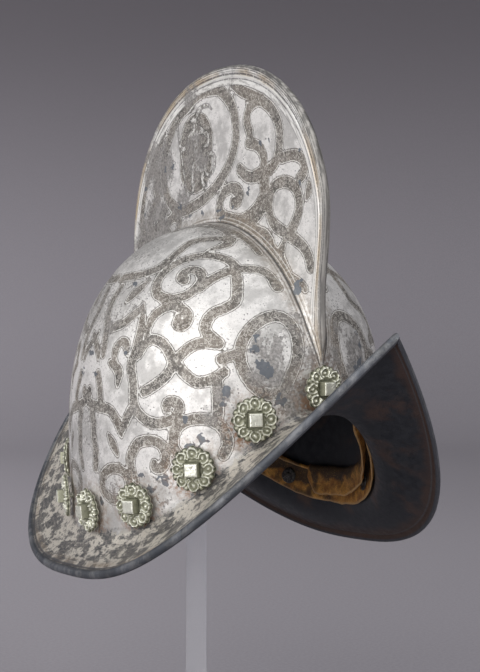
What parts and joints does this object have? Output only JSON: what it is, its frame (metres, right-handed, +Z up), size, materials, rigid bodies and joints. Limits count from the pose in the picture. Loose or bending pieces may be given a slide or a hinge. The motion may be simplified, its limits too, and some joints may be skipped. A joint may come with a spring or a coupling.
{
  "type": "comb morion helmet on a display stand",
  "caption": "Open-faced steel helmet with a tall comb, an upswept pointed brim, a ring of cast rosettes and a leather lining band, held on a clear post stand.",
  "frame": {"origin": "under the middle of the helmet's length, on the underside of the stand's base", "axes": "+Z up along the stand's post, -Y out of the helmet's front peak, X across the helmet"},
  "size_m": [0.2236, 0.3508, 0.4553],
  "materials": {
    "etched_steel": "forged steel etched with strapwork, bright ground and grey bands, worn and pitted",
    "cast_rosette": "cast metal with dark recesses and rubbed bright high points",
    "dark_iron": "blackened hammered iron",
    "lining_leather": "dry golden-brown leather with torn edges",
    "clear_acrylic": "polished clear acrylic",
    "stand_padding": "short black felt"
  },
  "bodies": {
    "root": {"helmet_shell": "etched_steel", "lining_band": "lining_leather", "rivet_washer_01": "dark_iron", "rivet_washer_02": "dark_iron", "rivet_washer_03": "dark_iron", "rivet_washer_04": "dark_iron", "rivet_washer_05": "dark_iron", "rivet_washer_06": "dark_iron", "rivet_washer_07": "dark_iron", "rivet_washer_08": "dark_iron", "rivet_washer_09": "dark_iron", "rivet_washer_10": "dark_iron", "rivet_washer_11": "dark_iron", "rivet_washer_12": "dark_iron", "rivet_washer_13": "dark_iron", "rivet_washer_14": "dark_iron", "rivet_washer_15": "dark_iron", "rivet_washer_16": "dark_iron", "rosette_01": "cast_rosette", "rosette_02": "cast_rosette", "rosette_03": "cast_rosette", "rosette_04": "cast_rosette", "rosette_05": "cast_rosette", "rosette_06": "cast_rosette", "rosette_07": "cast_rosette", "rosette_08": "cast_rosette", "rosette_09": "cast_rosette", "rosette_10": "cast_rosette", "rosette_11": "cast_rosette", "rosette_12": "cast_rosette", "rosette_13": "cast_rosette", "rosette_14": "cast_rosette", "rosette_15": "cast_rosette", "rosette_16": "cast_rosette", "stand_base": "clear_acrylic", "stand_head": "stand_padding", "stand_post": "clear_acrylic"}
  },
  "joints": []
}
